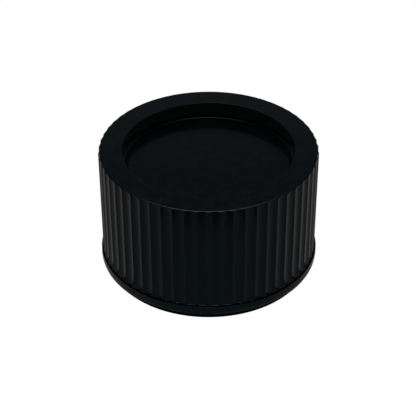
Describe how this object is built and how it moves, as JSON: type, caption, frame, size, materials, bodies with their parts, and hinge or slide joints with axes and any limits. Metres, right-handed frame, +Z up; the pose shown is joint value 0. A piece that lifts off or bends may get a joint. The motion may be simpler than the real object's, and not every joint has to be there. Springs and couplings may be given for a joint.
{
  "type": "rock tumbler barrel",
  "caption": "Squat fluted black drum with a plain foot band, a flat-sided rubber liner and a dished lift-off lid with ring seals.",
  "frame": {"origin": "middle of the foot, on the surface the barrel stands on", "axes": "+Z up along the drum's axis, the way the lid lifts off; -Y towards the viewer"},
  "size_m": [0.1118, 0.112, 0.0675],
  "materials": {
    "shell_plastic": "satin moulded black",
    "base_plastic": "satin moulded black",
    "lid_plastic": "satin moulded black",
    "disc_plastic": "satin moulded black",
    "liner_rubber": "matt moulded rubber",
    "seal_rubber": "smooth greased rubber",
    "pad_rubber": "matt moulded rubber"
  },
  "bodies": {
    "drum": {"drum_shell": "shell_plastic", "base_cap": "base_plastic", "rubber_liner": "liner_rubber"},
    "lid": {"lid_cap": "lid_plastic", "lid_disc": "disc_plastic", "lid_gasket": "seal_rubber", "upper_o_ring": "seal_rubber", "lower_o_ring": "seal_rubber", "lid_pad": "pad_rubber"}
  },
  "joints": [
    {"name": "lid_lift", "type": "slide", "parent": "drum", "child": "lid", "axis": [0, 0, 1], "range_m": [0, 0.07]}
  ]
}
